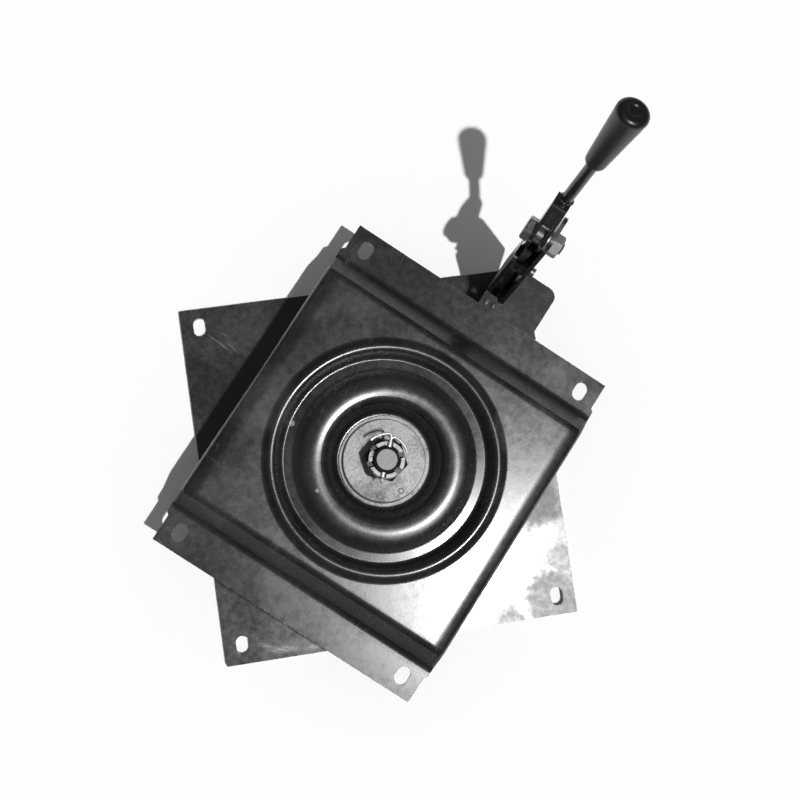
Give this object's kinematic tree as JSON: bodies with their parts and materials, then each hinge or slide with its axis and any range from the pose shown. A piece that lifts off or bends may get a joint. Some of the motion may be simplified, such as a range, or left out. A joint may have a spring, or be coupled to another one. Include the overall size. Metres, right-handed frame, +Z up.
{
  "type": "swivel seat base",
  "caption": "Swivel seat base: square slotted floor plate, pressed upper plate with slotted end flanges on a ball race, castle nut on a king bolt, and a hand lever that frees the turn lock.",
  "frame": {"origin": "on the swivel axis at the underside of the floor plate, the middle of the floor slots", "axes": "+Z up along the swivel axis, +X along the long way of the floor slots"},
  "size_m": [0.3946, 0.3708, 0.2704],
  "materials": {
    "floor_paint": "black paint, scuffed",
    "plate_paint": "black oiled finish, satin",
    "lever_paint": "black paint",
    "race_steel": "bare pressed steel",
    "ball_steel": "polished bearing steel",
    "cage_plastic": "plain moulded",
    "bush_plastic": "plain moulded",
    "washer_steel": "bare steel",
    "nut_steel": "black oxide with bright crown",
    "bolt_steel": "bare steel",
    "zinc": "zinc plated",
    "weld": "weld metal",
    "grip_plastic": "black moulded grip, satin"
  },
  "bodies": {
    "base": {"base_plate": "floor_paint", "lower_race": "race_steel", "lock_ring": "race_steel", "king_bolt": "bolt_steel", "wear_washer": "washer_steel", "nut_washer": "washer_steel", "castle_nut": "nut_steel", "split_pin": "zinc"},
    "ball_ring": {"bearing_balls": "ball_steel", "ball_cage": "cage_plastic"},
    "turntable": {"top_plate": "plate_paint", "centre_bush": "bush_plastic", "lever_bracket": "lever_paint", "bracket_welds": "weld", "pivot_bolt": "zinc", "pivot_nut": "zinc", "pivot_sleeve": "bolt_steel", "pivot_spacer": "zinc", "pawl_pin": "bolt_steel", "pawl_spacers": "bolt_steel", "pawl_spring": "bolt_steel"},
    "lever": {"lever_fork": "lever_paint", "cam_pin": "bolt_steel", "lever_rod": "lever_paint", "lever_grip": "grip_plastic"},
    "pawl": {"lock_pawl": "lever_paint"}
  },
  "joints": [
    {"name": "swivel", "type": "hinge", "parent": "base", "child": "turntable", "pos_m": [0, 0, 0.05], "axis": [0, 0, 1], "continuous": true},
    {"name": "ball_roll", "type": "hinge", "parent": "base", "child": "ball_ring", "pos_m": [0, 0, 0.05], "axis": [0, 0, 1], "continuous": true},
    {"name": "lever_pull", "type": "hinge", "parent": "turntable", "child": "lever", "pos_m": [0.14543, -0.12642, 0.149], "axis": [0.6561, 0.7547, 0], "range_deg": [0, 15]},
    {"name": "pawl_swing", "type": "hinge", "parent": "turntable", "child": "pawl", "pos_m": [0.13713, -0.11921, 0.091], "axis": [-0.6561, -0.7547, 0], "range_deg": [0, 9.5], "deforming": ["pawl_spring"]}
  ],
  "couplings": [
    {"joint": "ball_roll", "follows": "swivel", "ratio": 0.5},
    {"joint": "pawl_swing", "follows": "lever_pull", "ratio": 0.61}
  ]
}
